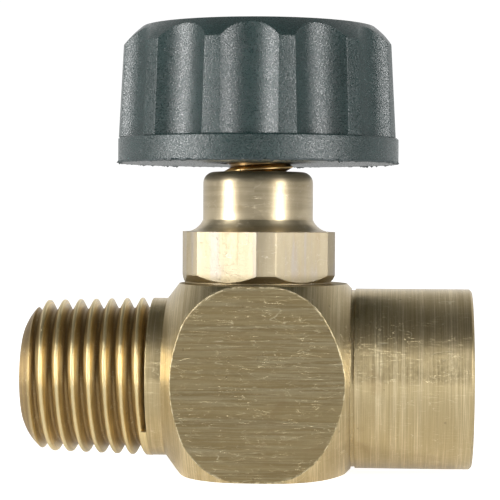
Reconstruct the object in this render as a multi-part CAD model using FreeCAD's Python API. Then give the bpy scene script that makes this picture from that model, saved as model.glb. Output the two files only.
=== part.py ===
"""Small brass needle valve with a male pipe thread, a female pipe port and a fluted hand knob.

Frame: millimetres, +Z up.  The origin is the centre of the flat underside of the square body, on the
spindle axis.  The flow axis runs along X, the male thread towards -X and the female port towards +X.
The valve is modelled closed: the needle rests in its seat and the knob is at its lowest.
"""

import FreeCAD, Part
import math
import os

V = FreeCAD.Vector

# ---------------------------------------------------------------- driving sizes
# body: square bar, turned at both ends
BAR = 16.0                     # across the flats of the square bar
BLOCK_SHIFT = 0.34             # the square part sits this far towards the female end
BLOCK_HALF = 7.65              # half length of the square part along X
BREAK_CONE = 15.29             # x + radius on the 45 degree lead-in cone of the turned ends
BREAK_BLEND_R = 9.25           # radius at which that cone meets the blend
BREAK_ARC_R = 7.0              # radius that blends the cone into the bar's corners
FOOT_R = 6.85                  # radius at which the male side's steeper cone meets the neck
FOOT_X = 7.52                  # distance of that place from the spindle axis
NECK_R = 6.70                  # plain neck between the body and the male thread
NECK_END = 8.85                # distance of the neck's end from the spindle axis
MALE_END = 19.68               # distance of the male end face from the spindle axis
BOSS_R = 7.6                   # plain round boss of the female end
BOSS_END = 18.1                # distance of the female end face from the spindle axis
BOSS_GROOVE = 0.12             # depth of the turned relief where the boss meets the bar

# pipe threads, both G / R 1/4: 19 threads per inch, 55 degree form
PIPE_PITCH = 1.337
PIPE_MAJOR_R = 6.5785          # at the gauge plane
PIPE_DEPTH = 0.856
PIPE_GAUGE = 6.0               # gauge plane to the small end of the male taper
MALE_TAPER = 1.0 / 16.0        # on the diameter
MALE_CHAMFER_R = 1.95          # radial size of the rounded lead-in of the male end
MALE_CHAMFER_X = 1.60
MALE_CHAMFER_BULGE = 0.22      # how far its middle stands out of a straight cone
MALE_THREAD_TURN = 57.0        # degrees, where the helix starts on the male end
PORT_DEPTH = 9.7               # full-bore depth of the female port
PORT_THREAD = 7.7              # length of the female thread; the rest stays plain
PORT_LEAD = 0.9                # mouth countersink
PORT_CREST_CUT = 0.03          # how far the female thread's crests stand back from the plain bore

# flow passages
INLET_R = 2.75                 # blind bore in the male end
INLET_DEPTH = 10.6
PASSAGE_R = 1.3                # offset drilling from the inlet bore to below the seat
PASSAGE_DROP = 1.4             # how far that drilling lies below the flow axis
SEAT_R = 1.4                   # radius of the seat's orifice
SEAT_Z = 9.0                   # height of the seat's edge
CHAMBER_R = 3.5                # needle chamber above the seat
OUTLET_R = 1.3                 # offset drilling from the chamber to the female port
OUTLET_RISE = 2.5              # how far that drilling lies above the flow axis

# bonnet and its thread in the body
LEDGE_Z = 12.0                 # ledge in the body that carries the gasket
GASKET_T = 0.45
BONNET_THREAD_R = 4.93         # M10 x 1
BONNET_PITCH = 1.0
BONNET_THREAD_DEPTH = 0.6
HEX_AF = 12.5                  # spanner flats
HEX_CORNER_R = 6.80            # radius the corners are turned to
HEX_TURN = 9.5                 # degrees, where the bonnet stopped when it was tightened
COLLAR_R = 6.2                 # turned collar under the hexagon
COLLAR_H = 0.15
HEX_TOP = 20.40
BONNET_TOP_R = 4.67
BONNET_TOP = 25.45
BONNET_EDGE = 0.95             # rounding of the bonnet's top edge
BONNET_FOOT_R = 6.40           # where the sweep from the round part meets the hexagon's top
BONNET_FOOT_H = 1.00           # height of the sweep
BONNET_MID_R = 5.15            # a point half way up the sweep
BONNET_MID_H = 0.36

# spindle, its thread and its seal
STEM_R = 2.95                  # M6 x 1
STEM_PITCH = 1.0
STEM_DEPTH = 0.56
THREAD_GAP = 0.06              # clearance all round between the spindle's and the bonnet's thread
NUT_CREST_CUT = 0.02           # how much a nut thread's crest is opened beyond its bore
SEAMS = [100, 190, 280, 10, 55, 145, 235, 325, 75, 165, 255, 345]   # degrees, seam lines of turned blanks
PISTON_R = 3.43
SEAL_BORE_R = 3.5              # bore of the bonnet in which the seal slides
SEAL_BORE_TOP = 19.1
PISTON_LOW = 12.9
LIFT = 2.75                    # full travel of the spindle
STOP_GAP = 0.05                # play left under the stop when fully open
GROOVE_R = 2.62
GROOVE_LOW = 13.6
GROOVE_HIGH = 15.3
RING_SECTION_R = 0.42          # O-ring
BACKUP_T = 0.55
NEEDLE_HALF_ANGLE = 20.0       # degrees
NEEDLE_TIP_R = 0.6
NEEDLE_GAP = 0.02
SHANK_R = 2.3
SQUARE = 4.2                   # drive square at the spindle's top
SQUARE_CORNER_R = 2.4
SQUARE_LOW = 27.7
SPINDLE_TOP = 32.0
TAPPED_R = 1.5                 # M3 hole in the spindle's end
TAPPED_DEPTH = 6.4

# hand knob and what is in it
KNOB_LOW = 26.15
KNOB_H = 11.50
SKIRT_R = 11.89
SKIRT_H = 2.15
GRIP_LOW_R = 11.86
GRIP_TOP_R = 11.38
KNOB_CHAMFER = 1.60
KNOB_CHAMFER_BULGE = 0.07      # how far the middle of that edge stands out of a straight chamfer
FLUTES = 12
FLUTE_R = 3.7
FLUTE_DEPTH = 1.06
FLUTE_TURN = 0.0               # degrees between one flute's middle and the -Y direction
HUB_R = 5.6
WALL_R = 9.0                   # inside radius of the knob's rim
KNOB_FLOOR = 2.3
RIB_T = 1.1
RIBS = 6
STEM_HOLE_R = 3.25
CAP_T = 1.2
CAP_R = 9.45
CAP_EDGE_H = 1.8               # snap rim under the cap
INSERT_AF = 8.0                # hexagonal drive insert in the hub
INSERT_LOW = 28.6
INSERT_TOP = 32.25
FIT = 0.05                     # play between pieces that are pushed together
SCREW_R = 1.45
SCREW_HEAD_R = 2.75
SCREW_HEAD_H = 2.0
SCREW_SLOT = 0.8
WASHER_R = 2.9
WASHER_T = 0.7

FLOW_Z = BAR / 2.0
KNOB_TOP = KNOB_LOW + KNOB_H
PISTON_HIGH = SEAL_BORE_TOP - LIFT - STOP_GAP


# ---------------------------------------------------------------- helpers
def cyl(r, low, high, x=0.0, y=0.0):
    """Upright cylinder between two heights."""
    return Part.makeCylinder(r, high - low, V(x, y, low))


def cyl_x(r, x0, x1, z=FLOW_Z):
    """Cylinder along X between two stations."""
    return Part.makeCylinder(r, x1 - x0, V(x0, 0, z), V(1, 0, 0))


def ring(r_in, r_out, low, high):
    """Flat ring with a rectangular section."""
    return cyl(r_out, low, high).cut(cyl(r_in, low - 1, high + 1))


def turned(points):
    """Solid turned about Z from (radius, height) points; an item with four numbers is an arc
    (mid radius, mid height, end radius, end height)."""
    edges = []
    here = V(points[0][0], 0, points[0][1])
    first = here
    for item in points[1:]:
        if len(item) == 4:
            mid = V(item[0], 0, item[1])
            end = V(item[2], 0, item[3])
            edges.append(Part.Arc(here, mid, end).toShape())
        else:
            end = V(item[0], 0, item[1])
            edges.append(Part.makeLine(here, end))
        here = end
    if (here - first).Length > 1e-9:
        edges.append(Part.makeLine(here, first))
    face = Part.Face(Part.Wire(edges))
    return face.revolve(V(0, 0, 0), V(0, 0, 1), 360)


def prism(across_flats, low, high, turn, sides=6):
    """Regular prism with a face normal at the given angle from +X."""
    corner = across_flats / 2.0 / math.cos(math.pi / sides)
    points = []
    for i in range(sides + 1):
        a = math.radians(turn) + (i + 0.5) * 2.0 * math.pi / sides
        points.append(V(corner * math.cos(a), corner * math.sin(a), low))
    return Part.Face(Part.makePolygon(points)).extrude(V(0, 0, high - low))


def lay_along_x(shape, x0, z=FLOW_Z):
    """Turn a shape made upright on Z so that its +Z lies along +X, starting at x0."""
    shape = shape.copy()
    shape.rotate(V(0, 0, 0), V(0, 1, 0), 90)
    shape.translate(V(x0, 0, z))
    return shape


def sweep_on_helix(points, radius, pitch, height, cone=0.0):
    """Closed (radial, axial) profile, given relative to the helix's start, swept along a right-hand
    helix about Z that starts at height 0.  An item with four numbers is an arc."""
    path = Part.makeLongHelix(pitch, height, radius, cone)
    edges = []
    first = V(radius + points[0][0], 0, points[0][1])
    here = first
    for item in points[1:]:
        if len(item) == 4:
            mid = V(radius + item[0], 0, item[1])
            end = V(radius + item[2], 0, item[3])
            edges.append(Part.Arc(here, mid, end).toShape())
        else:
            end = V(radius + item[0], 0, item[1])
            edges.append(Part.makeLine(here, end))
        here = end
    if (here - first).Length > 1e-9:
        edges.append(Part.makeLine(here, first))
    solid = Part.Wire(path).makePipeShell([Part.Wire(edges)], True, True)
    return solid if solid.Volume > 0 else solid.reversed()


def pipe_groove(outside):
    """Section of one 55 degree groove with rounded root and rounded crest shoulders, radial 0 at the
    crest.  outside is how far the cutter stands out of the crest."""
    p = PIPE_PITCH
    r = 0.1373 * p
    half = math.radians(27.5)
    # centre of the crest's rounding and of the root's rounding, one half pitch apart
    crest_c = (-r, 0.5 * p)
    root_c = (-PIPE_DEPTH + r, 0.0)
    crest_t = (crest_c[0] + r * math.sin(half), crest_c[1] - r * math.cos(half))
    root_t = (root_c[0] - r * math.sin(half), root_c[1] + r * math.cos(half))
    lip = 0.45 * p
    depth_at_lip = r - math.sqrt(r * r - (0.5 * p - lip) ** 2)
    mid_a = math.radians(90) - (math.radians(90) - half) / 2 - math.radians(8)
    crest_m = (crest_c[0] + r * math.sin(mid_a), crest_c[1] - r * math.cos(mid_a))
    return [
        (outside, -lip),
        (-depth_at_lip, -lip),
        (crest_m[0], -crest_m[1], crest_t[0], -crest_t[1]),
        (root_t[0], -root_t[1]),
        (-PIPE_DEPTH, 0.0, root_t[0], root_t[1]),
        (crest_t[0], crest_t[1]),
        (crest_m[0], crest_m[1], -depth_at_lip, lip),
        (outside, lip),
    ]


def metric_groove(depth, pitch, outside, gap=0.0):
    """Section of one 60 degree groove with a flat root, radial 0 at the crest."""
    slope = math.tan(math.radians(30))
    root = 0.125 * pitch - gap
    top = root + depth * slope
    out = top + outside * slope
    return [(outside, -out), (-depth, -root), (-depth, root), (outside, out)]


def with_seam(shape, degrees):
    """The same turned shape about Z with its seam line somewhere else."""
    shape = shape.copy()
    shape.rotate(V(0, 0, 0), V(0, 0, 1), degrees)
    return shape


def thread_volume(crest_r, depth, length):
    """What a thread of this depth takes away over a length: half of the ring between crest and root."""
    return math.pi * depth * (crest_r - depth / 2.0) * length


def checked_cut(base, tool, expected):
    """The cut shape, or None when the cut did not take away roughly what it should."""
    result = base.cut(tool)
    gone = base.Volume - result.Volume
    good = 0.6 * expected < gone < 1.6 * expected
    return result if good and result.isValid() and len(result.Solids) == 1 else None


def cut_thread(blank, groove, expected):
    """Cut a helical groove into a turned blank about Z."""
    for degrees in SEAMS:
        result = checked_cut(with_seam(blank, degrees), groove, expected)
        if result is not None:
            return result
    raise ValueError("thread not cut")


def cut_nut(base, make_tap, expected):
    """Cut a nut thread with a threaded rod; make_tap takes the place of the rod's seam."""
    for degrees in SEAMS:
        tap = make_tap(degrees)
        if tap is None:
            continue
        result = checked_cut(base, tap, expected)
        if result is not None:
            return result
    raise ValueError("nut thread not cut")


def metric_tap(crest_r, depth, pitch, gap, start, low, high, seam):
    """Threaded rod that cuts the nut thread for a screw of that crest radius, with clearance all
    round.  start is the height at which the screw's own helix begins."""
    groove = sweep_on_helix(metric_groove(depth - NUT_CREST_CUT, pitch, 0.3, gap), crest_r + gap, pitch,
                            high - start + 2 * pitch)
    groove.translate(V(0, 0, start))
    rod = with_seam(cyl(crest_r + gap, low, high), seam)
    return checked_cut(rod, groove, thread_volume(crest_r, depth, high - low))


# ---------------------------------------------------------------- valve body
def male_end():
    """Tapered male end with its rounded lead-in and thread, along +Z from the small end.  The helical
    groove starts outside the end face and runs out against the neck."""
    length = MALE_END - NECK_END
    small = PIPE_MAJOR_R - PIPE_GAUGE * MALE_TAPER / 2.0
    large = small + length * MALE_TAPER / 2.0
    low = small - MALE_CHAMFER_R
    at = small + MALE_CHAMFER_X * MALE_TAPER / 2.0
    bulge = MALE_CHAMFER_BULGE
    blank = turned([
        (0.0, 0.0),
        (low, 0.0),
        ((low + at) / 2.0 + bulge * 0.7, MALE_CHAMFER_X / 2.0 - bulge * 0.5, at, MALE_CHAMFER_X),
        (large, length),
        (0.0, length),
    ])
    cone = math.degrees(math.atan(MALE_TAPER / 2.0))
    start = -1.5 * PIPE_PITCH
    groove = sweep_on_helix(pipe_groove(0.6), small + start * MALE_TAPER / 2.0, PIPE_PITCH,
                            length + 1.6 * PIPE_PITCH, cone)
    groove.translate(V(0, 0, start))
    groove.rotate(V(0, 0, 0), V(0, 0, 1), MALE_THREAD_TURN)
    return cut_thread(blank, groove, thread_volume(small, PIPE_DEPTH, length - MALE_CHAMFER_X))


def make_body():
    half = BAR / 2.0
    bar = Part.makeBox(2 * (BLOCK_HALF + 1.4), BAR, BAR, V(BLOCK_SHIFT - BLOCK_HALF - 1.4, -half, 0))
    # the envelope that the lathe leaves: 45 degree cone, then an arc that runs out at the corners
    r45 = BREAK_ARC_R / math.sqrt(2.0)
    arc_c_u = BREAK_CONE - BREAK_BLEND_R - r45
    arc_c_r = BREAK_BLEND_R - r45
    top_r = arc_c_r + BREAK_ARC_R
    a = math.radians(68)
    mid = (arc_c_r + BREAK_ARC_R * math.sin(a), arc_c_u + BREAK_ARC_R * math.cos(a))
    right = turned([
        (0.0, 0.0),
        (top_r, 0.0),
        (top_r, arc_c_u),
        (mid[0], mid[1], arc_c_r + r45, arc_c_u + r45),
        (BREAK_CONE - BLOCK_HALF, BLOCK_HALF),
        (0.0, BLOCK_HALF),
    ])
    left_x = FOOT_X + BLOCK_SHIFT
    left = turned([
        (0.0, 0.0),
        (top_r, 0.0),
        (top_r, arc_c_u),
        (mid[0], mid[1], arc_c_r + r45, arc_c_u + r45),
        (FOOT_R, left_x),
        (0.0, left_x),
    ])
    left.rotate(V(0, 0, 0), V(1, 0, 0), 180)
    envelope = lay_along_x(right, BLOCK_SHIFT).fuse(lay_along_x(left, BLOCK_SHIFT))
    block = bar.common(envelope)
    neck = cyl_x(NECK_R, -NECK_END, -BLOCK_HALF + 2)
    boss_x = BLOCK_SHIFT + BLOCK_HALF
    male = lay_along_x(male_end(), -MALE_END)
    boss = lay_along_x(turned([
        (0.0, 0.0),
        (BOSS_R, 0.0),
        (BOSS_R, BOSS_END - boss_x + 1 - 0.2),
        (BOSS_R - 0.2, BOSS_END - boss_x + 1),
        (0.0, BOSS_END - boss_x + 1),
    ]), boss_x - 1)
    relief = cyl_x(BOSS_R + 2, boss_x, boss_x + 0.35)
    relief = relief.cut(cyl_x(BOSS_R - BOSS_GROOVE, boss_x - 1, boss_x + 1))
    body = block.fuse([neck, male, boss]).cut(relief)

    # flow passages
    inlet_cone = INLET_R / math.tan(math.radians(59))
    inlet = lay_along_x(turned([
        (0.0, -1.0),
        (INLET_R, -1.0),
        (INLET_R, INLET_DEPTH),
        (0.0, INLET_DEPTH + inlet_cone),
    ]), -MALE_END)
    passage = cyl_x(PASSAGE_R, -MALE_END + INLET_DEPTH - 0.5, SEAT_R - 0.1, FLOW_Z - PASSAGE_DROP)
    orifice = cyl(SEAT_R, FLOW_Z - PASSAGE_DROP - 0.2, SEAT_Z + 0.5)
    chamber = cyl(CHAMBER_R, SEAT_Z, LEDGE_Z + 0.1)
    port_r = PIPE_MAJOR_R - PIPE_DEPTH
    port_cone = port_r / math.tan(math.radians(59))
    port = lay_along_x(turned([
        (0.0, -port_cone),
        (port_r, 0.0),
        (port_r, PORT_DEPTH - PORT_LEAD),
        (port_r + PORT_LEAD, PORT_DEPTH),
        (port_r + PORT_LEAD, PORT_DEPTH + 1.0),
        (0.0, PORT_DEPTH + 1.0),
    ]), BOSS_END - PORT_DEPTH)
    outlet = cyl_x(OUTLET_R, CHAMBER_R - 0.6, BOSS_END - PORT_DEPTH + 0.4, FLOW_Z + OUTLET_RISE)
    bonnet_r = BONNET_THREAD_R - BONNET_THREAD_DEPTH + THREAD_GAP
    bonnet_hole = turned([
        (0.0, LEDGE_Z),
        (bonnet_r, LEDGE_Z),
        (bonnet_r, BAR - 0.7),
        (BONNET_THREAD_R + 0.12, BAR),
        (BONNET_THREAD_R + 0.12, BAR + 1),
        (0.0, BAR + 1),
    ])
    body = body.cut(inlet.fuse(passage))
    body = body.cut(port)
    body = body.cut(outlet)
    body = body.cut(bonnet_hole)
    body = body.cut(chamber.fuse(orifice))

    # female thread
    def port_tap(seam):
        crest = PIPE_MAJOR_R + PORT_CREST_CUT
        groove = sweep_on_helix(pipe_groove(0.6), crest, PIPE_PITCH, PORT_THREAD + 4 * PIPE_PITCH)
        groove.translate(V(0, 0, -2 * PIPE_PITCH))
        rod = checked_cut(with_seam(cyl(crest, 0, PORT_THREAD + 1.0), seam), groove,
                          thread_volume(crest, PIPE_DEPTH, PORT_THREAD + 1.0))
        return None if rod is None else lay_along_x(rod, BOSS_END - PORT_THREAD)

    return cut_nut(body, port_tap, thread_volume(PIPE_MAJOR_R, PIPE_DEPTH, PORT_THREAD - PORT_LEAD))


# ---------------------------------------------------------------- bonnet
def make_bonnet():
    low = LEDGE_Z + GASKET_T + 0.04
    collar_top = BAR + COLLAR_H
    sweep_top = HEX_TOP + BONNET_FOOT_H
    envelope = turned([
        (0.0, collar_top),
        (COLLAR_R, collar_top),
        (HEX_CORNER_R, collar_top + HEX_CORNER_R - COLLAR_R),
        (HEX_CORNER_R, HEX_TOP),
        (BONNET_FOOT_R, HEX_TOP),
        (BONNET_MID_R, HEX_TOP + BONNET_MID_H, BONNET_TOP_R, sweep_top),
        (0.0, sweep_top),
    ])
    hexagon = prism(HEX_AF, collar_top, sweep_top + 1.0, HEX_TURN + 30.0 - 90.0)
    hexagon = hexagon.common(envelope)
    top = turned([
        (0.0, HEX_TOP - 1.0),
        (BONNET_TOP_R, HEX_TOP - 1.0),
        (BONNET_TOP_R, BONNET_TOP - BONNET_EDGE),
        (BONNET_TOP_R - BONNET_EDGE * 0.293, BONNET_TOP - BONNET_EDGE * 0.293,
         BONNET_TOP_R - BONNET_EDGE, BONNET_TOP),
        (0.0, BONNET_TOP),
    ])
    collar = cyl(COLLAR_R, BAR + 0.02, collar_top)
    core_r = BONNET_THREAD_R - BONNET_THREAD_DEPTH
    shank = turned([
        (0.0, low),
        (core_r - 0.15, low),
        (BONNET_THREAD_R, low + BONNET_THREAD_DEPTH + 0.15),
        (BONNET_THREAD_R, BAR - 0.9),
        (core_r - 0.05, BAR - 0.9 + 0.3),
        (core_r - 0.05, BAR + 0.1),
        (0.0, BAR + 0.1),
    ])
    outer = sweep_on_helix(metric_groove(BONNET_THREAD_DEPTH, BONNET_PITCH, 0.3),
                           BONNET_THREAD_R, BONNET_PITCH, BAR - 0.75 - low + 2 * BONNET_PITCH)
    outer.translate(V(0, 0, low - 1.5 * BONNET_PITCH))
    shank = cut_thread(shank, outer, thread_volume(BONNET_THREAD_R, BONNET_THREAD_DEPTH, BAR - 1.6 - low))
    bonnet = hexagon.fuse([top, collar, shank])
    bore = turned([
        (0.0, low - 1.0),
        (SEAL_BORE_R + 0.35, low - 1.0),
        (SEAL_BORE_R + 0.35, low),
        (SEAL_BORE_R, low + 0.35),
        (SEAL_BORE_R, SEAL_BORE_TOP),
        (STEM_R - STEM_DEPTH + THREAD_GAP, SEAL_BORE_TOP + 0.55),
        (STEM_R - STEM_DEPTH + THREAD_GAP, BONNET_TOP - 0.75),
        (STEM_R + 0.2, BONNET_TOP),
        (STEM_R + 0.2, BONNET_TOP + 1.0),
        (0.0, BONNET_TOP + 1.0),
    ])
    bonnet = bonnet.cut(bore)
    return bonnet


def cut_nut_threads(body, bonnet):
    """Helical grooves inside the body's top hole and inside the bonnet, in step with the screws."""
    low = LEDGE_Z + GASKET_T + 0.04

    def bonnet_tap(seam):
        return metric_tap(BONNET_THREAD_R, BONNET_THREAD_DEPTH, BONNET_PITCH, THREAD_GAP,
                          low - 1.5 * BONNET_PITCH, low + 0.2, BAR + 1.0, seam)

    def stem_tap(seam):
        return metric_tap(STEM_R, STEM_DEPTH, STEM_PITCH, THREAD_GAP,
                          stem_thread_start(), SEAL_BORE_TOP + 0.3, BONNET_TOP + 1.0, seam)

    body = cut_nut(body, bonnet_tap,
                   thread_volume(BONNET_THREAD_R, BONNET_THREAD_DEPTH, BAR - 0.7 - low))
    bonnet = cut_nut(bonnet, stem_tap,
                     thread_volume(STEM_R, STEM_DEPTH, BONNET_TOP - 0.7 - SEAL_BORE_TOP))
    return body, bonnet


# ---------------------------------------------------------------- gasket and seals
def make_gasket():
    return ring(SEAL_BORE_R + 0.1, BONNET_THREAD_R - BONNET_THREAD_DEPTH - 0.05,
                LEDGE_Z + 0.02, LEDGE_Z + 0.02 + GASKET_T)


def make_o_ring():
    centre_r = GROOVE_R + 0.02 + RING_SECTION_R
    return Part.makeTorus(centre_r, RING_SECTION_R, V(0, 0, GROOVE_LOW + 0.05 + RING_SECTION_R))


def make_backup_ring():
    low = GROOVE_HIGH - 0.05 - BACKUP_T
    band = ring(GROOVE_R + 0.03, SEAL_BORE_R - 0.03, low, low + BACKUP_T)
    slit = Part.makeBox(2.0, 0.15, 2.0, V(2.2, -0.075, low - 0.5))
    slit.rotate(V(0, 0, low), V(1, 0, 0), 35)
    return band.cut(slit)


# ---------------------------------------------------------------- spindle
def stem_thread_start():
    """Height at which the spindle's helix begins, below the full thread."""
    return PISTON_HIGH + 0.6 - 1.5 * STEM_PITCH


def make_spindle():
    slope = math.tan(math.radians(NEEDLE_HALF_ANGLE))
    at_seat = SEAT_R - NEEDLE_GAP / math.cos(math.radians(NEEDLE_HALF_ANGLE))
    tip_z = SEAT_Z - (at_seat - NEEDLE_TIP_R) / slope
    shank_z = SEAT_Z + (SHANK_R - at_seat) / slope
    thread_low = PISTON_HIGH + 0.6
    core = STEM_R - STEM_DEPTH
    neck_top = thread_low - 0.05
    piston = turned([
        (0.0, tip_z),
        (NEEDLE_TIP_R, tip_z),
        (SHANK_R, shank_z),
        (SHANK_R, PISTON_LOW - 0.3),
        (PISTON_R - 0.3, PISTON_LOW - 0.3),
        (PISTON_R, PISTON_LOW),
        (PISTON_R, GROOVE_LOW),
        (GROOVE_R, GROOVE_LOW),
        (GROOVE_R, GROOVE_HIGH),
        (PISTON_R, GROOVE_HIGH),
        (PISTON_R, PISTON_HIGH - 0.25),
        (PISTON_R - 0.25, PISTON_HIGH),
        (core - 0.1, PISTON_HIGH),
        (core - 0.1, neck_top),
        (0.0, neck_top),
    ])
    stem = turned([
        (0.0, neck_top),
        (core - 0.1, neck_top),
        (STEM_R, thread_low + 0.55),
        (STEM_R, SQUARE_LOW - 0.5),
        (STEM_R - 0.5, SQUARE_LOW),
        (SQUARE_CORNER_R, SQUARE_LOW),
        (SQUARE_CORNER_R, SPINDLE_TOP - 0.2),
        (SQUARE_CORNER_R - 0.2, SPINDLE_TOP),
        (0.0, SPINDLE_TOP),
    ])
    groove = sweep_on_helix(metric_groove(STEM_DEPTH, STEM_PITCH, 0.3), STEM_R, STEM_PITCH,
                            SQUARE_LOW - thread_low + 2 * STEM_PITCH)
    groove.translate(V(0, 0, stem_thread_start()))
    stem = cut_thread(stem, groove, thread_volume(STEM_R, STEM_DEPTH, SQUARE_LOW - thread_low))
    spindle = piston.fuse(stem)
    half = SQUARE / 2.0
    flats = cyl(STEM_R + 1.0, SQUARE_LOW, SPINDLE_TOP + 1.0)
    flats = flats.cut(Part.makeBox(SQUARE, SQUARE, 10.0, V(-half, -half, SQUARE_LOW - 1.0)))
    spindle = spindle.cut(flats)
    tip = TAPPED_R / math.tan(math.radians(59))
    hole = turned([
        (0.0, SPINDLE_TOP - TAPPED_DEPTH - tip),
        (TAPPED_R, SPINDLE_TOP - TAPPED_DEPTH),
        (TAPPED_R, SPINDLE_TOP - 0.3),
        (TAPPED_R + 0.3, SPINDLE_TOP),
        (TAPPED_R + 0.3, SPINDLE_TOP + 1.0),
        (0.0, SPINDLE_TOP + 1.0),
    ])
    return spindle.cut(hole)


# ---------------------------------------------------------------- knob and its fastening
def make_knob():
    skirt_top = KNOB_LOW + SKIRT_H
    draft = (GRIP_LOW_R - GRIP_TOP_R) / (KNOB_TOP - skirt_top)
    chamfer_low = KNOB_TOP - KNOB_CHAMFER
    grip_at_chamfer = GRIP_TOP_R + draft * KNOB_CHAMFER
    outer = turned([
        (0.0, KNOB_LOW),
        (SKIRT_R - 0.12, KNOB_LOW),
        (SKIRT_R, KNOB_LOW + 0.12),
        (SKIRT_R, skirt_top - 0.12),
        (SKIRT_R - 0.12, skirt_top),
        (GRIP_LOW_R, skirt_top),
        (grip_at_chamfer, chamfer_low),
        (grip_at_chamfer - KNOB_CHAMFER / 2.0 + KNOB_CHAMFER_BULGE * 0.7,
         KNOB_TOP - KNOB_CHAMFER / 2.0 + KNOB_CHAMFER_BULGE * 0.7,
         grip_at_chamfer - KNOB_CHAMFER, KNOB_TOP),
        (0.0, KNOB_TOP),
    ])
    tilt = math.atan(draft)
    for i in range(FLUTES):
        a = math.radians(-90.0 + FLUTE_TURN + i * 360.0 / FLUTES)
        out = V(math.cos(a), math.sin(a), 0)
        centre = out * (GRIP_LOW_R - FLUTE_DEPTH + FLUTE_R) + V(0, 0, skirt_top)
        axis = V(-math.sin(tilt) * out.x, -math.sin(tilt) * out.y, math.cos(tilt))
        flute = Part.makeCylinder(FLUTE_R, KNOB_H + 2.0, centre, axis)
        outer = outer.cut(flute.common(cyl(SKIRT_R + 5, skirt_top, KNOB_TOP + 1)))
    floor_z = KNOB_LOW + KNOB_FLOOR
    cavity = cyl(WALL_R, floor_z, KNOB_TOP - CAP_T)
    hub_top = INSERT_TOP + 1.0
    hub = cyl(HUB_R, floor_z - 0.5, hub_top)
    ribs = None
    for i in range(RIBS):
        rib = Part.makeBox(WALL_R + 0.5 - HUB_R + 0.6, RIB_T, hub_top - 1.0 - floor_z + 0.5,
                           V(HUB_R - 0.6, -RIB_T / 2.0, floor_z - 0.5))
        rib.rotate(V(0, 0, 0), V(0, 0, 1), FLUTE_TURN - 90.0 + 180.0 / FLUTES + i * 360.0 / RIBS)
        ribs = rib if ribs is None else ribs.fuse(rib)
    knob = outer.cut(cavity.cut(hub.fuse(ribs)))
    knob = knob.cut(cyl(CAP_R, KNOB_TOP - CAP_T, KNOB_TOP + 1))
    knob = knob.cut(cyl(STEM_HOLE_R, KNOB_LOW - 1, INSERT_LOW + 0.5))
    knob = knob.cut(prism(INSERT_AF + 2 * FIT, INSERT_LOW - FIT, hub_top + 1, 0.0))
    return knob


def make_insert():
    insert = prism(INSERT_AF, INSERT_LOW, INSERT_TOP, 0.0)
    rounder = cyl(INSERT_AF / 2.0 * 1.1, INSERT_LOW, INSERT_TOP)
    insert = insert.common(rounder)
    half = SQUARE / 2.0 + FIT
    hole = Part.makeBox(2 * half, 2 * half, 12.0, V(-half, -half, INSERT_LOW - 1.0))
    insert = insert.cut(hole.common(cyl(SQUARE_CORNER_R + FIT, INSERT_LOW - 2, INSERT_TOP + 2)))
    clear = SQUARE_LOW + 0.05
    if clear > INSERT_LOW:
        insert = insert.cut(cyl(STEM_R + 0.1, INSERT_LOW - 1.0, clear))
    return insert


def make_washer():
    low = INSERT_TOP + 0.02
    band = ring(SCREW_R + 0.12, WASHER_R, low, low + WASHER_T)
    slit = Part.makeBox(3.0, 0.35, 3.0, V(0.8, -0.175, low - 1.0))
    slit.rotate(V(0, 0, low), V(1, 0, 0), 25)
    slit.rotate(V(0, 0, 0), V(0, 0, 1), 140)
    return band.cut(slit)


def make_screw():
    head_low = INSERT_TOP + WASHER_T + 0.04
    head_top = head_low + SCREW_HEAD_H
    low = SPINDLE_TOP - TAPPED_DEPTH + 0.4
    screw = turned([
        (0.0, low),
        (SCREW_R - 0.35, low),
        (SCREW_R, low + 0.35),
        (SCREW_R, head_low),
        (SCREW_HEAD_R, head_low),
        (SCREW_HEAD_R, head_top - 0.9),
        (SCREW_HEAD_R - 0.30, head_top - 0.26, SCREW_HEAD_R - 1.0, head_top),
        (0.0, head_top),
    ])
    slot = Part.makeBox(3 * SCREW_HEAD_R, SCREW_SLOT, 2.0,
                        V(-1.5 * SCREW_HEAD_R, -SCREW_SLOT / 2.0, head_top - 1.0))
    slot.rotate(V(0, 0, 0), V(0, 0, 1), 28)
    return screw.cut(slot)


def make_cap():
    r = CAP_R - FIT
    low = KNOB_TOP - CAP_T + 0.02
    disc = turned([
        (0.0, low),
        (r, low),
        (r, KNOB_TOP - 0.15),
        (r - 0.15, KNOB_TOP),
        (0.0, KNOB_TOP),
    ])
    rim = ring(WALL_R - 1.1, WALL_R - FIT, low - CAP_EDGE_H, low + 0.3)
    return disc.fuse(rim)


# ---------------------------------------------------------------- build
def build():
    body, bonnet = cut_nut_threads(make_body(), make_bonnet())
    return {
        "valve_body": body,
        "bonnet": bonnet,
        "bonnet_gasket": make_gasket(),
        "stem_o_ring": make_o_ring(),
        "backup_ring": make_backup_ring(),
        "spindle": make_spindle(),
        "hand_knob": make_knob(),
        "drive_insert": make_insert(),
        "spring_washer": make_washer(),
        "knob_screw": make_screw(),
        "knob_cap": make_cap(),
    }


os.makedirs("parts", exist_ok=True)
for name, shape in build().items():
    if shape.ShapeType == "Compound" and len(shape.Solids) == 1:
        shape = shape.Solids[0]
    if len(shape.Solids) != 1 or not shape.isValid():
        raise ValueError("%s: %d solids, valid %s" % (name, len(shape.Solids), shape.isValid()))
    shape.exportStep("parts/%s.step" % name)
    box = shape.BoundBox
    print("%-14s volume %9.2f  x %7.2f %7.2f  y %7.2f %7.2f  z %7.2f %7.2f" % (
        name, shape.Volume, box.XMin, box.XMax, box.YMin, box.YMax, box.ZMin, box.ZMax))
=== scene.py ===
import math

import bmesh
import bpy
from mathutils import Matrix, Vector, noise


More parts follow.
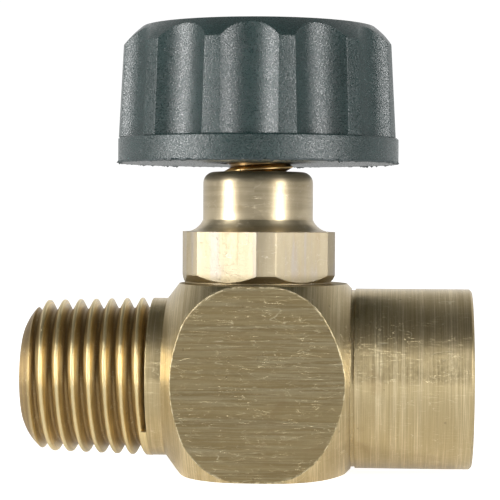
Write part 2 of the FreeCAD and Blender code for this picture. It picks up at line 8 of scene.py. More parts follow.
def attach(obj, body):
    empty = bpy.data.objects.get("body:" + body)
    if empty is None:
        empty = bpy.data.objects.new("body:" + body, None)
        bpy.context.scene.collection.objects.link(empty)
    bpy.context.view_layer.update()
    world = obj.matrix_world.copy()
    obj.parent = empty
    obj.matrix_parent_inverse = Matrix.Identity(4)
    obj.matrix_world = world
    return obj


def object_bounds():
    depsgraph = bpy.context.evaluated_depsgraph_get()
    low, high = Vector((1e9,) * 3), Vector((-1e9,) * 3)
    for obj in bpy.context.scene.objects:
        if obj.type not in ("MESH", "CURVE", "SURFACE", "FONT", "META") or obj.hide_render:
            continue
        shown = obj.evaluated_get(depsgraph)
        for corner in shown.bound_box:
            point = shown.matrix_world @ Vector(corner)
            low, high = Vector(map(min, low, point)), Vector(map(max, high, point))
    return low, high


bl_info = {
    "name": "Small brass needle valve",
    "version": (1, 0, 0),
    "blender": (4, 5, 0),
    "location": "View3D > Sidebar > Valve",
    "description": "Finishes and studio for a brass needle valve with a moulded hand knob",
    "category": "3D View",
}

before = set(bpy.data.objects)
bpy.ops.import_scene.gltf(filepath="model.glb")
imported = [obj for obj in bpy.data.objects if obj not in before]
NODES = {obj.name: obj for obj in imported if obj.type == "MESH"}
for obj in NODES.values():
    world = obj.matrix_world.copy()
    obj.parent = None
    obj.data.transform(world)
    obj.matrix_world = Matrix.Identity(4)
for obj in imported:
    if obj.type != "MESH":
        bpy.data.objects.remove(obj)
CAD_LOW, CAD_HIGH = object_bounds()

MM = 0.001
FLOW_HEIGHT = 8.0          # mm, height of the flow axis
BLOCK_LEFT = -7.45         # mm, where the square part ends on the male side
BLOCK_RIGHT = 8.02         # mm, where it ends on the female side
THREAD_SMALL = 6.39        # mm, crest radius at the small end of the male taper
THREAD_START = -19.68      # mm
THREAD_SLOPE = 0.03125     # radius per millimetre along the taper
BLOCK_SHIFT = 0.34         # mm, middle of the square part
ARC_R = 7.0                # mm, the arc with which the edges were broken
ARC_CENTRE_R = 4.30
ARC_CENTRE_U = 1.09
BLEND_R = 9.25             # mm, where the arc runs into a cone
BLEND_U = 6.04
EDGE_ROUNDING = 0.10 * MM
SKIRT_R = 11.89            # mm, radius of the knob's skirt
SKIRT_LOW = 26.15          # mm, its bottom edge
FLASH_OUT = 0.13           # mm, how far the flash stands out
FLASH_STEPS = 1440
HEX_TOP = 20.45            # mm, top of the spanner flats
HEX_FOOT = 16.9            # mm, where the lower chamfer of the hexagon begins
ARC_FALL = 0.319           # extra slope of the cone on the male side
THREAD_FADE = (-8.95, -8.75)   # mm, where the thread's colour ends
STEM_THREAD = (2.95, 0.56)     # mm, crest radius and depth of the spindle's thread
FLAT_NORMAL = 0.9985       # a face counts as a flat of the bar above this
BEVEL_SAMPLES = 6
MARK_DEPTH = 0.03 * MM     # depth of the marks on brass
TURNED_DEPTH = 0.02 * MM   # depth of the marks on small turned parts
GRAIN_DEPTH = 0.055 * MM   # depth of the moulded grain
FLOOR_GAP = 0.02 * MM      # between the body's underside and the floor
BAR_TONE = (0.42, 0.355, 0.215)
LINE_TONE = (0.33, 0.25, 0.12)
BAND_TONE = (0.44, 0.34, 0.17)
STAIN_TONE = (0.36, 0.25, 0.12)
# painted highlight on the male thread's crests
CREST_HIGHLIGHT_TONE = (0.93, 0.80, 0.48)
# painted highlight along the burrs of the broken edges
BURR_HIGHLIGHT_TONE = (1.0, 0.88, 0.58)
FLAT_TONE = (0.24, 0.205, 0.145)
# painted shade on the downward-facing chamfer below the spanner flats
FOOT_SHADE_TONE = (0.20, 0.16, 0.08)
SCRATCH_TURNS = ((25.0, 0.30), (-38.0, 0.42), (75.0, 0.26), (52.0, 0.75), (-66.0, 0.95))
FLASH_WAVES = ((23.0, 1.0), (71.0, 0.6), (190.0, 0.4))
FLASH_PATCH = Vector((4.0, 2.0, 1.0))


# ------------------------------------------------------------------ properties
def colour(name, text, value):
    return bpy.props.FloatVectorProperty(
        name=name, description=text, default=value, size=3, min=0.0, max=1.0, subtype="COLOR")


def number(name, text, value, low, high, **extra):
    return bpy.props.FloatProperty(
        name=name, description=text, default=value, min=low, max=high, **extra)


class ValveMetalSettings(bpy.types.PropertyGroup):
    body_colour: colour("Body brass", "Colour of the square bar and the boss", (0.72, 0.60, 0.37))
    thread_colour: colour("Thread brass", "Colour of the freshly cut pipe thread",
                          (0.80, 0.60, 0.27))
    bonnet_colour: colour("Bonnet brass", "Colour of the spanner flats and the bonnet's round part",
                          (0.62, 0.525, 0.355))
    stem_colour: colour("Spindle brass", "Colour of the spindle's thread", (0.82, 0.58, 0.25))
    # tarnish brown for stains, also used as painted shade in the thread roots
    tarnish_and_root_shade_colour: colour("Tarnish", "Brown film in grooves and stains", (0.16, 0.085, 0.035))
    steel_colour: colour("Steel", "Colour of the plated screw and washer", (0.62, 0.62, 0.60))
    line_density: number("Line density", "Machining lines per millimetre", 9.0, 0.5, 60.0)
    line_height: number("Line height", "Strength of the machining lines", 0.45, 0.0, 1.0,
                        subtype="FACTOR")
    wear: number("Wear", "Amount of scratches and nicks", 0.55, 0.0, 1.0, subtype="FACTOR")


class ValvePlasticSettings(bpy.types.PropertyGroup):
    knob_colour: colour("Knob", "Colour of the moulded knob", (0.007, 0.021, 0.020))
    cap_colour: colour("Cap", "Colour of the snap-in cap", (0.011, 0.024, 0.025))
    rubber_colour: colour("Rubber", "Colour of the O-ring", (0.012, 0.012, 0.013))
    washer_colour: colour("Fluoroplastic", "Colour of the backup ring", (0.80, 0.79, 0.75))
    grain: number("Grain size", "Size of the moulded surface's grain", 0.13 * MM, 0.02 * MM, 2.0 * MM,
                  unit="LENGTH")
    grain_height: number("Grain height", "Strength of the moulded grain", 0.70, 0.0, 1.0,
                         subtype="FACTOR")


class ValveStageSettings(bpy.types.PropertyGroup):
    floor_size: number("Floor size", "Side of the pale floor", 6.0, 0.2, 20.0, unit="LENGTH")
    key_radiance: number("Key light", "Brightness of the left softbox", 20.0, 0.0, 50.0)
    fill_radiance: number("Fill light", "Brightness of the right softbox", 17.0, 0.0, 50.0)
    surround: number("Surround", "Brightness of the room behind the object", 0.95, 0.0, 5.0)
    front: number("Front", "Brightness of the room in front of the object", 0.14, 0.0, 5.0)


# ------------------------------------------------------------------ node helpers
class Tree:
    """Small helper round a node tree: add nodes and join sockets."""

    def __init__(self, tree):
        self.tree = tree

    def add(self, kind, **props):
        node = self.tree.nodes.new(kind)
        for key, value in props.items():
            setattr(node, key, value)
        return node

    def put(self, target, value):
        if isinstance(value, bpy.types.NodeSocket):
            self.tree.links.new(value, target)
        else:
            target.default_value = value

    def math(self, op, a, b=None, clamp=False):
        node = self.add("ShaderNodeMath", operation=op, use_clamp=clamp)
        for socket, value in zip(node.inputs, (a, b)):
            if value is not None:
                self.put(socket, value)
        return node.outputs[0]

    def smooth(self, value, low, high, to_low=0.0, to_high=1.0):
        node = self.add("ShaderNodeMapRange", interpolation_type="SMOOTHSTEP")
        self.put(node.inputs["Value"], value)
        node.inputs["From Min"].default_value = low
        node.inputs["From Max"].default_value = high
        node.inputs["To Min"].default_value = to_low
        node.inputs["To Max"].default_value = to_high
        return node.outputs["Result"]

    def mix(self, factor, a, b):
        node = self.add("ShaderNodeMix", data_type="RGBA")
        self.put(node.inputs[0], factor)
        self.put(node.inputs[6], a if isinstance(a, bpy.types.NodeSocket) else (*a, 1.0))
        self.put(node.inputs[7], b if isinstance(b, bpy.types.NodeSocket) else (*b, 1.0))
        return node.outputs[2]

    def noise(self, vector, scale, detail=4.0, roughness=0.55, distortion=0.0):
        node = self.add("ShaderNodeTexNoise")
        self.put(node.inputs["Vector"], vector)
        node.inputs["Scale"].default_value = scale
        node.inputs["Detail"].default_value = detail
        node.inputs["Roughness"].default_value = roughness
        node.inputs["Distortion"].default_value = distortion
        return node.outputs["Fac"]

    def vector(self, x, y, z):
        node = self.add("ShaderNodeCombineXYZ")
        for socket, value in zip(node.inputs, (x, y, z)):
            self.put(socket, value)
        return node.outputs[0]

    def group(self, tree, **values):
        node = self.add("ShaderNodeGroup", node_tree=tree)
        for key, value in values.items():
            self.put(node.inputs[key.replace("_", " ")], value)
        return node


def new_group(name, inputs, outputs):
    """An empty shader group with the given sockets, and its input and output nodes."""
    tree = bpy.data.node_groups.new(name, "ShaderNodeTree")
    for key, kind, default in inputs:
        socket = tree.interface.new_socket(name=key, in_out="INPUT", socket_type=kind)
        if default is not None:
            socket.default_value = default
    for key, kind in outputs:
        tree.interface.new_socket(name=key, in_out="OUTPUT", socket_type=kind)
    t = Tree(tree)
    return t, t.add("NodeGroupInput"), t.add("NodeGroupOutput")


FLOAT = "NodeSocketFloat"
VECTOR = "NodeSocketVector"


def lines_group():
    """Machining lines, fine across and long along, and the broad bands between them."""
    name = "machining_lines"
    if name in bpy.data.node_groups:
        return bpy.data.node_groups[name]
    t, inp, out = new_group(
        name,
        [("Across", FLOAT, 0.0), ("Along", FLOAT, 0.0), ("Density", FLOAT, 9.0)],
        [("Height", FLOAT), ("Bands", FLOAT)])
    across = t.math("MULTIPLY", inp.outputs["Across"], inp.outputs["Density"])
    fine = t.vector(across, t.math("MULTIPLY", inp.outputs["Along"], 0.12), 0.0)
    coarse = t.vector(
        t.math("MULTIPLY", across, 0.16), t.math("MULTIPLY", inp.outputs["Along"], 0.05), 3.0)
    t.put(out.inputs["Height"], t.noise(fine, 1.0, 5.0, 0.75))
    t.put(out.inputs["Bands"], t.noise(coarse, 1.0, 3.0, 0.6))
    return t.tree


def scratch_group():
    """Thin curved scratches and small nicks."""
    name = "scratches_and_nicks"
    if name in bpy.data.node_groups:
        return bpy.data.node_groups[name]
    t, inp, out = new_group(
        name,
        [("Coordinate", VECTOR, None), ("Amount", FLOAT, 0.5), ("Seed", FLOAT, 0.0)],
        [("Scratches", FLOAT), ("Nicks", FLOAT)])
    shift = t.vector(inp.outputs["Seed"], t.math("MULTIPLY", inp.outputs["Seed"], 1.7), 0.0)
    move = t.add("ShaderNodeVectorMath", operation="ADD")
    t.put(move.inputs[0], inp.outputs["Coordinate"])
    t.put(move.inputs[1], shift)
    where = move.outputs[0]
    total = None
    for turn, scale in SCRATCH_TURNS:
        mapping = t.add("ShaderNodeMapping")
        t.put(mapping.inputs["Vector"], where)
        turns = (math.radians(turn), math.radians(turn * 0.7), math.radians(-turn))
        mapping.inputs["Rotation"].default_value = turns
        mapping.inputs["Scale"].default_value = (0.22, 1.7, 1.7)
        line = t.noise(mapping.outputs[0], scale * 2.0, 1.0, 0.4, 0.35)
        near = t.math("ABSOLUTE", t.math("SUBTRACT", line, 0.5))
        thin = t.smooth(near, 0.0, 0.0042, 1.0, 0.0)
        broken = t.smooth(t.noise(where, 0.55 + scale, 2.0), 0.50, 0.62)
        part = t.math("MULTIPLY", thin, broken)
        total = part if total is None else t.math("MAXIMUM", total, part)
    t.put(out.inputs["Scratches"], t.math("MULTIPLY", total, inp.outputs["Amount"]))
    cells = t.add("ShaderNodeTexVoronoi", feature="F1")
    t.put(cells.inputs["Vector"], where)
    cells.inputs["Scale"].default_value = 0.85
    dots = t.smooth(cells.outputs["Distance"], 0.05, 0.12, 1.0, 0.0)
    pick = t.add("ShaderNodeSeparateColor")
    t.put(pick.inputs[0], cells.outputs["Color"])
    few = t.smooth(pick.outputs[0], 0.62, 0.66)
    t.put(out.inputs["Nicks"], t.math("MULTIPLY", t.math("MULTIPLY", dots, few), inp.outputs["Amount"]))
    return t.tree


def stain_group():
    """Soft stains: a broad cloud and a fine mottling."""
    name = "stains"
    if name in bpy.data.node_groups:
        return bpy.data.node_groups[name]
    t, inp, out = new_group(
        name,
        [("Coordinate", VECTOR, None), ("Scale", FLOAT, 0.25), ("Spread", FLOAT, 0.5)],
        [("Cloud", FLOAT), ("Mottle", FLOAT)])
    scaled = t.add("ShaderNodeVectorMath", operation="SCALE")
    t.put(scaled.inputs[0], inp.outputs["Coordinate"])
    t.put(scaled.inputs["Scale"], inp.outputs["Scale"])
    cloud = t.noise(scaled.outputs[0], 1.0, 6.0, 0.62, 0.4)
    edge = t.math("SUBTRACT", 0.72, t.math("MULTIPLY", inp.outputs["Spread"], 0.3))
    amount = t.math("MULTIPLY", t.math("SUBTRACT", cloud, edge), 6.0, clamp=True)
    t.put(out.inputs["Cloud"], amount)
    t.put(out.inputs["Mottle"], t.noise(scaled.outputs[0], 14.0, 4.0, 0.6))
    return t.tree


def grain_group():
    """Moulded grain: a fine orange peel with small pits and dust."""
    name = "moulded_grain"
    if name in bpy.data.node_groups:
        return bpy.data.node_groups[name]
    t, inp, out = new_group(
        name,
        [("Coordinate", VECTOR, None), ("Frequency", FLOAT, 4.5)],
        [("Height", FLOAT), ("Dust", FLOAT), ("Tone", FLOAT)])
    scaled = t.add("ShaderNodeVectorMath", operation="SCALE")
    t.put(scaled.inputs[0], inp.outputs["Coordinate"])
    t.put(scaled.inputs["Scale"], inp.outputs["Frequency"])
    t.put(out.inputs["Height"], t.noise(scaled.outputs[0], 1.0, 3.0, 0.6))
    cells = t.add("ShaderNodeTexVoronoi", feature="F1")
    t.put(cells.inputs["Vector"], scaled.outputs[0])
    cells.inputs["Scale"].default_value = 0.33
    t.put(out.inputs["Dust"], t.smooth(cells.outputs["Distance"], 0.06, 0.11, 1.0, 0.0))
    t.put(out.inputs["Tone"], t.noise(scaled.outputs[0], 0.06, 4.0, 0.6))
    return t.tree


# ------------------------------------------------------------------ materials
class Finish:
    """A material with a Principled BSDF, object coordinates in millimetres and their parts."""

    def __init__(self, name):
        self.material = bpy.data.materials.new(name)
        self.material.use_nodes = True
        tree = self.material.node_tree
        tree.nodes.clear()
        self.t = Tree(tree)
        self.bsdf = self.t.add("ShaderNodeBsdfPrincipled")
        output = self.t.add("ShaderNodeOutputMaterial")
        tree.links.new(self.bsdf.outputs[0], output.inputs["Surface"])
        coordinate = self.t.add("ShaderNodeTexCoord")
        scale = self.t.add("ShaderNodeVectorMath", operation="SCALE")
        self.t.put(scale.inputs[0], coordinate.outputs["Object"])
        scale.inputs["Scale"].default_value = 1.0 / MM
        self.where = scale.outputs[0]
        parts = self.t.add("ShaderNodeSeparateXYZ")
        self.t.put(parts.inputs[0], self.where)
        self.x, self.y, self.z = parts.outputs
        geometry = self.t.add("ShaderNodeNewGeometry")
        normal = self.t.add("ShaderNodeSeparateXYZ")
        self.t.put(normal.inputs[0], geometry.outputs["True Normal"])
        _, self.ny, self.nz = normal.outputs

    def set(self, **values):
        for key, value in values.items():
            self.t.put(self.bsdf.inputs[key.replace("_", " ")], value)

    def bump(self, height, strength, distance):
        node = self.t.add("ShaderNodeBump")
        node.inputs["Strength"].default_value = strength
        node.inputs["Distance"].default_value = distance
        self.t.put(node.inputs["Height"], height)
        soft_edge = self.t.add("ShaderNodeBevel", samples=BEVEL_SAMPLES)
        soft_edge.inputs["Radius"].default_value = EDGE_ROUNDING
        self.t.put(node.inputs["Normal"], soft_edge.outputs[0])
        self.t.put(self.bsdf.inputs["Normal"], node.outputs[0])

    def brushed(self, axis, straight, amount, flats):
        """Stretch the reflections across the machining lines: round the axis, or along straight where
        flats is one."""
        t = self.t
        circle = t.add("ShaderNodeTangent", direction_type="RADIAL", axis=axis)
        pick = t.add("ShaderNodeMix", data_type="VECTOR")
        t.put(pick.inputs[0], flats)
        t.put(pick.inputs[4], circle.outputs[0])
        pick.inputs[5].default_value = straight
        t.put(self.bsdf.inputs["Tangent"], pick.outputs[1])
        self.bsdf.inputs["Anisotropic"].default_value = amount
        self.bsdf.inputs["Anisotropic Rotation"].default_value = 0.25

    def envelope(self):
        """Radius about the flow axis at which the lathe broke the bar's edges, at this x."""
        t = self.t
        along = t.math("SUBTRACT", self.x, BLOCK_SHIFT)
        u = t.math("ABSOLUTE", along)
        bow = t.math("MAXIMUM", t.math("SUBTRACT", u, ARC_CENTRE_U), 0.0)
        arc = t.math("ADD", ARC_CENTRE_R, t.math("SQRT", t.math("MAXIMUM", t.math(
            "SUBTRACT", ARC_R ** 2, t.math("MULTIPLY", bow, bow)), 0.0)))
        male_side = t.math("LESS_THAN", along, 0.0)
        slope = t.math("ADD", 1.0, t.math("MULTIPLY", male_side, ARC_FALL))
        cone = t.math("SUBTRACT", BLEND_R, t.math("MULTIPLY", t.math("SUBTRACT", u, BLEND_U), slope))
        beyond = t.math("GREATER_THAN", u, BLEND_U)
        pick = t.add("ShaderNodeMix", data_type="FLOAT")
        t.put(pick.inputs[0], beyond)
        t.put(pick.inputs[2], arc)
        t.put(pick.inputs[3], cone)
        return pick.outputs[0]

    def radius_about_flow(self):
        t = self.t
        up = t.math("SUBTRACT", self.z, FLOW_HEIGHT)
        squares = t.math("ADD", t.math("MULTIPLY", self.y, self.y), t.math("MULTIPLY", up, up))
        return t.math("SQRT", squares)

    def radius_about_spindle(self):
        t = self.t
        squares = t.math("ADD", t.math("MULTIPLY", self.x, self.x), t.math("MULTIPLY", self.y, self.y))
        return t.math("SQRT", squares)

    def angle_about_flow(self):
        up = self.t.math("SUBTRACT", self.z, FLOW_HEIGHT)
        return self.t.math("MULTIPLY", self.t.math("ARCTAN2", self.y, up), 7.0)

    def angle_about_spindle(self):
        return self.t.math("MULTIPLY", self.t.math("ARCTAN2", self.x, self.y), 6.0)


def settings():
    return bpy.context.scene.valve_metal, bpy.context.scene.valve_plastic, bpy.context.scene.valve_stage


def body_finish():
    metal, _, _ = settings()
    f = Finish("brass_body")
    t = f.t
    in_block = t.math(
        "MULTIPLY", t.math("GREATER_THAN", f.x, BLOCK_LEFT), t.math("LESS_THAN", f.x, BLOCK_RIGHT))
    squareness = t.math("MAXIMUM", t.math("ABSOLUTE", f.ny), t.math("ABSOLUTE", f.nz))
    flat = t.math("GREATER_THAN", squareness, FLAT_NORMAL)
    drawn = t.math("MULTIPLY", in_block, flat)
    radius = f.radius_about_flow()
    turned = t.group(lines_group(), Across=f.x, Along=f.angle_about_flow(), Density=metal.line_density)
    bar_across = t.math("ADD", f.z, t.math("MULTIPLY", f.y, 1.3))
    bar = t.group(lines_group(), Across=bar_across, Along=f.x, Density=metal.line_density * 0.55)
    pick_height = t.add("ShaderNodeMix", data_type="FLOAT")
    t.put(pick_height.inputs[0], drawn)
    t.put(pick_height.inputs[2], turned.outputs["Height"])
    t.put(pick_height.inputs[3], bar.outputs["Height"])
    height = pick_height.outputs[0]
    pick_bands = t.add("ShaderNodeMix", data_type="FLOAT")
    t.put(pick_bands.inputs[0], drawn)
    t.put(pick_bands.inputs[2], turned.outputs["Bands"])
    t.put(pick_bands.inputs[3], bar.outputs["Bands"])
    bands = pick_bands.outputs[0]
    marks = t.group(scratch_group(), Coordinate=f.where, Amount=metal.wear, Seed=3.0)
    stains = t.group(stain_group(), Coordinate=f.where, Scale=0.17, Spread=0.45)

    # male thread: painted shade in the roots, painted highlight on the crests
    from_end = t.math("SUBTRACT", f.x, THREAD_START)
    crest = t.math("ADD", THREAD_SMALL, t.math("MULTIPLY", from_end, THREAD_SLOPE))
    depth = t.math("SUBTRACT", crest, radius)
    on_thread = t.smooth(f.x, *THREAD_FADE, 1.0, 0.0)
    root = t.math("MULTIPLY", t.smooth(depth, 0.22, 0.82), on_thread)
    top = t.math("MULTIPLY", t.smooth(depth, 0.04, 0.16, 1.0, 0.0), on_thread)

    base = t.mix(on_thread, tuple(metal.body_colour), tuple(metal.thread_colour))
    base = t.mix(t.math("MULTIPLY", drawn, 0.75), base, BAR_TONE)
    line_share = t.math("ADD", 0.55, t.math("MULTIPLY", drawn, 0.35))
    fine = t.math("MULTIPLY", t.smooth(height, 0.42, 0.60, 1.0, 0.0), line_share)
    base = t.mix(fine, base, LINE_TONE)
    shade = t.smooth(bands, 0.38, 0.62, 0.0, 0.6)
    base = t.mix(shade, base, BAND_TONE)
    base = t.mix(t.math("MULTIPLY", stains.outputs["Cloud"], 0.45), base, STAIN_TONE)
    # painted shade: the thread roots darkened towards the tarnish brown by depth
    base = t.mix(t.math("MULTIPLY", root, 0.55), base, tuple(metal.tarnish_and_root_shade_colour))
    # painted highlight: the thread crests lightened to a pale cream
    base = t.mix(t.math("MULTIPLY", top, 0.5), base, CREST_HIGHLIGHT_TONE)
    base = t.mix(t.math("MULTIPLY", marks.outputs["Scratches"], 0.8), base, (0.95, 0.86, 0.60))
    base = t.mix(t.math("MULTIPLY", marks.outputs["Nicks"], 0.7), base, (0.25, 0.19, 0.10))
    rough = t.math(
        "ADD", t.math("MULTIPLY", height, 0.22), t.math("MULTIPLY", stains.outputs["Mottle"], 0.14))
    rough = t.math("ADD", rough, t.math("ADD", 0.17, t.math("MULTIPLY", drawn, 0.10)))
    rough = t.math("ADD", rough, t.math("MULTIPLY", root, 0.15))
    # burr along the broken edges: its bump is real, its pale gold colour is a painted highlight
    gap = t.math("SUBTRACT", f.envelope(), radius)
    burr_with_glint = t.math("MULTIPLY", t.smooth(gap, 0.03, 0.13, 1.0, 0.0), drawn)
    burr_with_glint = t.math("MULTIPLY", burr_with_glint, t.smooth(t.noise(f.where, 1.6, 3.0), 0.42, 0.60))
    base = t.mix(t.math("MULTIPLY", burr_with_glint, 0.8), base, BURR_HIGHLIGHT_TONE)
    f.set(Base_Color=base, Metallic=1.0, Roughness=rough)
    f.brushed("X", (1.0, 0.0, 0.0), 0.75, drawn)
    relief = t.math("MULTIPLY", height, 0.5)
    relief = t.math("ADD", relief, t.math("MULTIPLY", burr_with_glint, 1.2))
    relief = t.math("ADD", relief, t.math("MULTIPLY", bands, 0.35))
    relief = t.math("SUBTRACT", relief, t.math("MULTIPLY", marks.outputs["Scratches"], 0.8))
    relief = t.math("SUBTRACT", relief, t.math("MULTIPLY", marks.outputs["Nicks"], 1.5))
    f.bump(relief, metal.line_height, MARK_DEPTH)
    return f.material


def bonnet_finish():
    metal, _, _ = settings()
    f = Finish("brass_bonnet")
    t = f.t
    upright = t.math("LESS_THAN", t.math("ABSOLUTE", f.nz), 0.1)
    on_flats = t.math("MULTIPLY", t.math("LESS_THAN", f.z, HEX_TOP), upright)
    around = f.angle_about_spindle()
    turned = t.group(lines_group(), Across=f.z, Along=around, Density=metal.line_density)
    drawn = t.group(lines_group(), Across=around, Along=f.z, Density=metal.line_density * 0.42)
    values = []
    for key in ("Height", "Bands"):
        pick = t.add("ShaderNodeMix", data_type="FLOAT")
        t.put(pick.inputs[0], on_flats)
        t.put(pick.inputs[2], turned.outputs[key])
        t.put(pick.inputs[3], drawn.outputs[key])
        values.append(pick.outputs[0])
    height, bands = values
    marks = t.group(scratch_group(), Coordinate=f.where, Amount=metal.wear, Seed=11.0)
    stains = t.group(stain_group(), Coordinate=f.where, Scale=0.30, Spread=0.5)
    base = t.mix(t.smooth(bands, 0.40, 0.62, 0.0, 0.65), tuple(metal.bonnet_colour), (0.45, 0.365, 0.23))
    lavender = t.math("MULTIPLY", t.smooth(drawn.outputs["Bands"], 0.50, 0.60), on_flats)
    base = t.mix(t.math("MULTIPLY", lavender, 0.6), base, (0.54, 0.50, 0.49))
    orange = t.math("MULTIPLY", t.smooth(drawn.outputs["Height"], 0.56, 0.68), on_flats)
    base = t.mix(t.math("MULTIPLY", orange, 0.55), base, (0.50, 0.30, 0.14))
    base = t.mix(t.math("MULTIPLY", on_flats, 0.45), base, FLAT_TONE)
    # painted shade: darker below the foot of the spanner flats
    foot_shade = t.smooth(f.z, HEX_FOOT - 0.5, HEX_FOOT + 0.15, 1.0, 0.0)
    base = t.mix(t.math("MULTIPLY", foot_shade, 0.55), base, FOOT_SHADE_TONE)
    base = t.mix(t.math("MULTIPLY", stains.outputs["Cloud"], 0.4), base, (0.38, 0.26, 0.13))
    base = t.mix(t.math("MULTIPLY", marks.outputs["Scratches"], 0.7), base, (0.92, 0.86, 0.70))
    rough = t.math(
        "ADD", t.math("MULTIPLY", height, 0.22), t.math("MULTIPLY", stains.outputs["Mottle"], 0.12))
    rough = t.math("ADD", rough, 0.22)
    f.set(Base_Color=base, Metallic=1.0, Roughness=rough)
    f.brushed("Z", (0.0, 0.0, 1.0), 0.6, on_flats)
    relief = t.math("ADD", t.math("MULTIPLY", height, 0.5), t.math("MULTIPLY", bands, 0.5))
    relief = t.math("SUBTRACT", relief, t.math("MULTIPLY", marks.outputs["Scratches"], 0.8))
    relief = t.math("SUBTRACT", relief, t.math("MULTIPLY", marks.outputs["Nicks"], 1.5))
    f.bump(relief, metal.line_height * 1.2, MARK_DEPTH)
    return f.material


def turned_finish(name, tint, dark, rough_base, crest=None):
    """Turned metal about the spindle axis; crest gives a thread's crest radius and depth in mm."""
    metal, _, _ = settings()
    f = Finish(name)
    t = f.t
    lines = t.group(lines_group(), Across=f.z, Along=f.angle_about_spindle(),
                    Density=metal.line_density * 1.3)
    marks = t.group(scratch_group(), Coordinate=f.where, Amount=metal.wear * 0.7, Seed=21.0)
    stains = t.group(stain_group(), Coordinate=f.where, Scale=0.5, Spread=0.5)
    bands = t.smooth(lines.outputs["Bands"], 0.4, 0.65, 0.0, 0.4)
    base = t.mix(bands, tint, tuple(0.7 * c for c in tint))
    base = t.mix(t.math("MULTIPLY", stains.outputs["Cloud"], 0.4), base, dark)
    if crest:
        # painted shade: the spindle's thread roots darkened by depth
        depth = t.math("SUBTRACT", crest[0], f.radius_about_spindle())
        base = t.mix(t.smooth(depth, 0.15 * crest[1], crest[1], 0.0, 0.8), base, dark)
    scratched = t.math("MULTIPLY", marks.outputs["Scratches"], 0.6)
    base = t.mix(scratched, base, tuple(min(1.0, 1.3 * c) for c in tint))
    rough = t.math("ADD", t.math("MULTIPLY", lines.outputs["Height"], 0.2),
                   t.math("MULTIPLY", stains.outputs["Mottle"], 0.14))
    f.set(Base_Color=base, Metallic=1.0, Roughness=t.math("ADD", rough, rough_base))
    relief = t.math("ADD", lines.outputs["Height"], t.math("MULTIPLY", lines.outputs["Bands"], 0.4))
    relief = t.math("SUBTRACT", relief, t.math("MULTIPLY", marks.outputs["Nicks"], 1.5))
    f.bump(relief, metal.line_height, TURNED_DEPTH)
    return f.material


def moulded_finish(name, tint, rough_base, grain_scale=1.0, dust=0.35):
    """Moulded plastic or rubber with a fine grain, faint flow marks, a little dust and painted glints on
    the grain's peaks.
    """
    metal, plastic, _ = settings()
    f = Finish(name)
    t = f.t
    grain = t.group(grain_group(), Coordinate=f.where, Frequency=MM / plastic.grain * grain_scale)
    marks = t.group(scratch_group(), Coordinate=f.where, Amount=metal.wear * 0.5, Seed=31.0)
    tone = t.smooth(grain.outputs["Tone"], 0.35, 0.68, 0.0, 0.55)
    base = t.mix(tone, tint, tuple(min(1.0, 1.45 * c) for c in tint))
    pale = tuple(min(1.0, 2.8 * c + 0.04) for c in tint)
    # painted glints: lighter specks on the grain's peaks
    glint_speck = t.smooth(grain.outputs["Height"], 0.52, 0.72, 0.0, 0.35)
    base = t.mix(glint_speck, base, tuple(min(1.0, 2.2 * c) for c in tint))
    base = t.mix(t.math("MULTIPLY", grain.outputs["Dust"], dust), base, pale)
    base = t.mix(t.math("MULTIPLY", marks.outputs["Scratches"], 0.35), base, pale)
    rough = t.math("ADD", t.math("MULTIPLY", t.smooth(grain.outputs["Height"], 0.35, 0.65), 0.30),
                   t.math("MULTIPLY", grain.outputs["Tone"], 0.12))
    f.set(Base_Color=base, Metallic=0.0, Roughness=t.math("ADD", rough, rough_base))
    cut = t.math("MULTIPLY", marks.outputs["Scratches"], 0.5)
    relief = t.math("SUBTRACT", grain.outputs["Height"], cut)
    f.bump(relief, plastic.grain_height, GRAIN_DEPTH)
    f.bsdf.inputs["Specular IOR Level"].default_value = 0.8
    return f.material


def wear_on(obj, material):
    """Give a CAD node its finish."""
    obj.data.materials.clear()
    obj.data.materials.append(material)


# ------------------------------------------------------------------ operators
class VALVE_OT_body(bpy.types.Operator):
    """Finish the machined body with its male thread and boss"""
    bl_idname = "valve.body"
    bl_label = "Valve body"

    def execute(self, context):
        wear_on(NODES["valve_body"], body_finish())
        return {"FINISHED"}


class VALVE_OT_bonnet(bpy.types.Operator):
    """Finish the bonnet: drawn spanner flats and turned top"""
    bl_idname = "valve.bonnet"
    bl_label = "Bonnet"

    def execute(self, context):
        wear_on(NODES["bonnet"], bonnet_finish())
        return {"FINISHED"}


class VALVE_OT_spindle(bpy.types.Operator):
    """Finish the spindle and its drive insert"""
    bl_idname = "valve.spindle"
    bl_label = "Spindle"

    def execute(self, context):
        metal, _, _ = settings()
        tint = tuple(metal.stem_colour)
        dark = tuple(metal.tarnish_and_root_shade_colour)
        wear_on(NODES["spindle"],
                turned_finish("brass_spindle", tint, dark, 0.14, crest=STEM_THREAD))
        wear_on(NODES["drive_insert"],
                turned_finish("brass_insert", tuple(metal.body_colour), dark, 0.20))
        return {"FINISHED"}


class VALVE_OT_seals(bpy.types.Operator):
    """Finish the gasket, the O-ring and the backup ring"""
    bl_idname = "valve.seals"
    bl_label = "Seals"

    def execute(self, context):
        metal, plastic, _ = settings()
        wear_on(NODES["bonnet_gasket"],
                turned_finish("copper_gasket", (0.80, 0.42, 0.28), tuple(metal.tarnish_and_root_shade_colour), 0.22))
        wear_on(NODES["stem_o_ring"],
                moulded_finish("rubber", tuple(plastic.rubber_colour), 0.34, 1.4, 0.1))
        wear_on(NODES["backup_ring"],
                moulded_finish("fluoroplastic", tuple(plastic.washer_colour), 0.28, 0.8, 0.1))
        return {"FINISHED"}


class VALVE_OT_fastening(bpy.types.Operator):
    """Finish the knob's screw and spring washer"""
    bl_idname = "valve.fastening"
    bl_label = "Screw and washer"

    def execute(self, context):
        metal, _, _ = settings()
        tint = tuple(metal.steel_colour)
        for name in ("knob_screw", "spring_washer"):
            wear_on(NODES[name], turned_finish("plated_" + name, tint, (0.22, 0.21, 0.19), 0.16))
        return {"FINISHED"}


